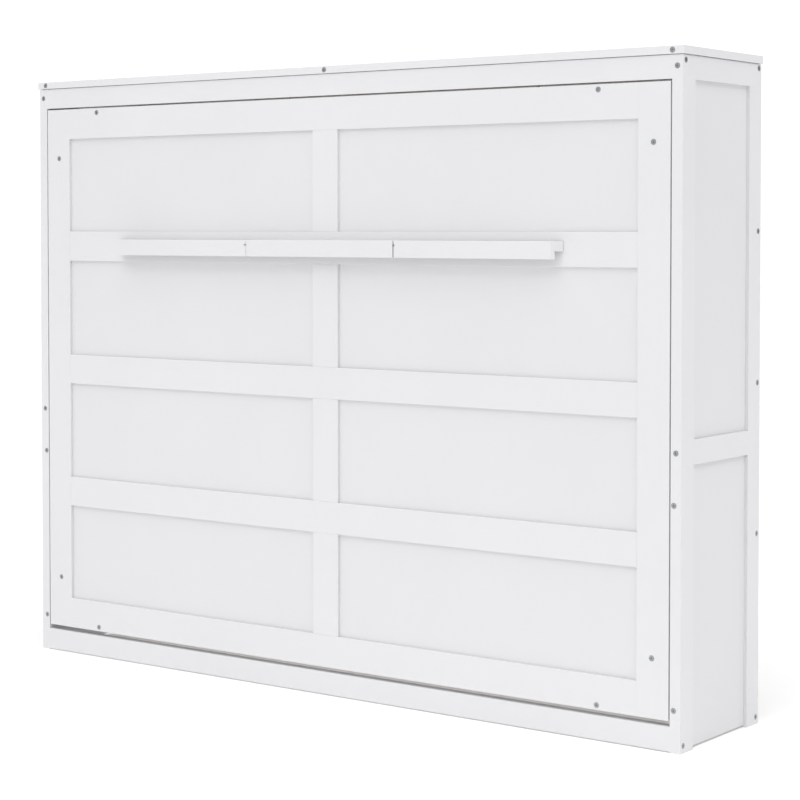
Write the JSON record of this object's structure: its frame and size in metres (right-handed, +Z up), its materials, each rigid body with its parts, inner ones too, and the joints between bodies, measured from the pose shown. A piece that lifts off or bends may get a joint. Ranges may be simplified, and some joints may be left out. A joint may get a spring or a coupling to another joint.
{
  "type": "murphy wall bed",
  "caption": "Side-folding wall bed: an inset panelled door carries the bed frame and folds down out of a post-and-rail cabinet; the bar on the door opens into two legs.",
  "frame": {"origin": "middle of the overall box's underside, on the floor", "axes": "+X to the right along the cabinet, +Y back to the wall, +Z up; the room is on the -Y side"},
  "size_m": [2.032, 0.406, 1.575],
  "materials": {
    "white_door": "satin",
    "white_cabinet": "satin",
    "white_panel": "satin",
    "pine": "planed",
    "beech": "planed",
    "zinc": "zinc plated",
    "steel": "satin",
    "black_tube": "gloss",
    "chromed_rod": "polished",
    "nylon": "satin",
    "black_rubber": "matte"
  },
  "bodies": {
    "cabinet": {"post_front_left": "white_cabinet", "post_front_right": "white_cabinet", "post_back_left": "white_cabinet", "post_back_right": "white_cabinet", "top_front_strip": "white_cabinet", "top_board": "white_cabinet", "front_top_rail": "white_cabinet", "front_bottom_rail": "white_cabinet", "back_rail_bottom": "white_cabinet", "back_rail_low": "white_cabinet", "back_rail_middle": "white_cabinet", "back_rail_high": "white_cabinet", "back_rail_top": "white_cabinet", "side_top_rail_left": "white_cabinet", "side_top_rail_right": "white_cabinet", "side_middle_rail_left": "white_cabinet", "side_middle_rail_right": "white_cabinet", "stop_blocks": "white_cabinet", "side_inner_rails": "white_cabinet", "side_panel_upper_left": "white_panel", "side_panel_upper_right": "white_panel", "side_panel_lower_left": "white_panel", "side_panel_lower_right": "white_panel", "dowels": "beech", "cabinet_bolts": "zinc", "barrel_nuts": "zinc", "plate_screws": "zinc", "pivot_pins": "steel", "strut_brackets_cabinet": "steel", "stop_pads": "black_rubber"},
    "bed": {"door_stile_left": "white_door", "door_stile_right": "white_door", "door_rail_bottom": "white_door", "door_rail_low": "white_door", "door_rail_middle": "white_door", "door_rail_high": "white_door", "door_rail_top": "white_door", "door_mullions": "white_door", "door_panels_left": "white_panel", "door_panels_right": "white_panel", "door_bolts": "zinc", "bed_end_board_left": "white_door", "bed_end_board_right": "white_door", "bed_foot_board": "white_door", "bed_wall_board": "white_door", "bed_cleats": "pine", "bed_centre_beam": "pine", "bed_slats": "pine", "bed_frame_bolts": "zinc", "bar_middle": "white_door", "leg_tongues": "steel", "leg_pins": "steel", "pivot_bushes": "nylon", "strut_brackets_bed": "steel"},
    "leg_left": {"leg_left": "white_door"},
    "leg_right": {"leg_right": "white_door"},
    "strut_tube_left": {"strut_tube_left": "black_tube"},
    "strut_tube_right": {"strut_tube_right": "black_tube"},
    "strut_rod_left": {"strut_rod_left": "chromed_rod"},
    "strut_rod_right": {"strut_rod_right": "chromed_rod"}
  },
  "joints": [
    {"name": "bed_fold", "type": "hinge", "parent": "cabinet", "child": "bed", "pos_m": [0, -0.142, 0.38], "axis": [1, 0, 0], "range_deg": [0, 90], "stiffness_Nm_per_rad": 110, "springref_deg": -20.05},
    {"name": "leg_fold_left", "type": "hinge", "parent": "bed", "child": "leg_left", "pos_m": [-0.2407, -0.196, 1.12], "axis": [0, 0, 1], "range_deg": [0, 46]},
    {"name": "strut_swing_left", "type": "hinge", "parent": "cabinet", "child": "strut_tube_left", "pos_m": [-0.968, 0.164, 0.97], "axis": [1, 0, 0], "range_deg": [-3.01, 0.1]},
    {"name": "strut_slide_left", "type": "slide", "parent": "strut_tube_left", "child": "strut_rod_left", "axis": [0, -0.2317, -0.9728], "range_m": [-0.29728, 0.0005]},
    {"name": "leg_fold_right", "type": "hinge", "parent": "bed", "child": "leg_right", "pos_m": [0.2407, -0.196, 1.12], "axis": [0, 0, -1], "range_deg": [0, 46]},
    {"name": "strut_swing_right", "type": "hinge", "parent": "cabinet", "child": "strut_tube_right", "pos_m": [0.968, 0.164, 0.97], "axis": [1, 0, 0], "range_deg": [-3.01, 0.1]},
    {"name": "strut_slide_right", "type": "slide", "parent": "strut_tube_right", "child": "strut_rod_right", "axis": [0, -0.2317, -0.9728], "range_m": [-0.29728, 0.0005]}
  ],
  "couplings": [
    {"joint": "strut_swing_left", "follows": "bed_fold", "ratio": -0.032299},
    {"joint": "strut_slide_left", "follows": "bed_fold", "m_per_rad": -0.18893},
    {"joint": "strut_swing_right", "follows": "bed_fold", "ratio": -0.032299},
    {"joint": "strut_slide_right", "follows": "bed_fold", "m_per_rad": -0.18893}
  ]
}
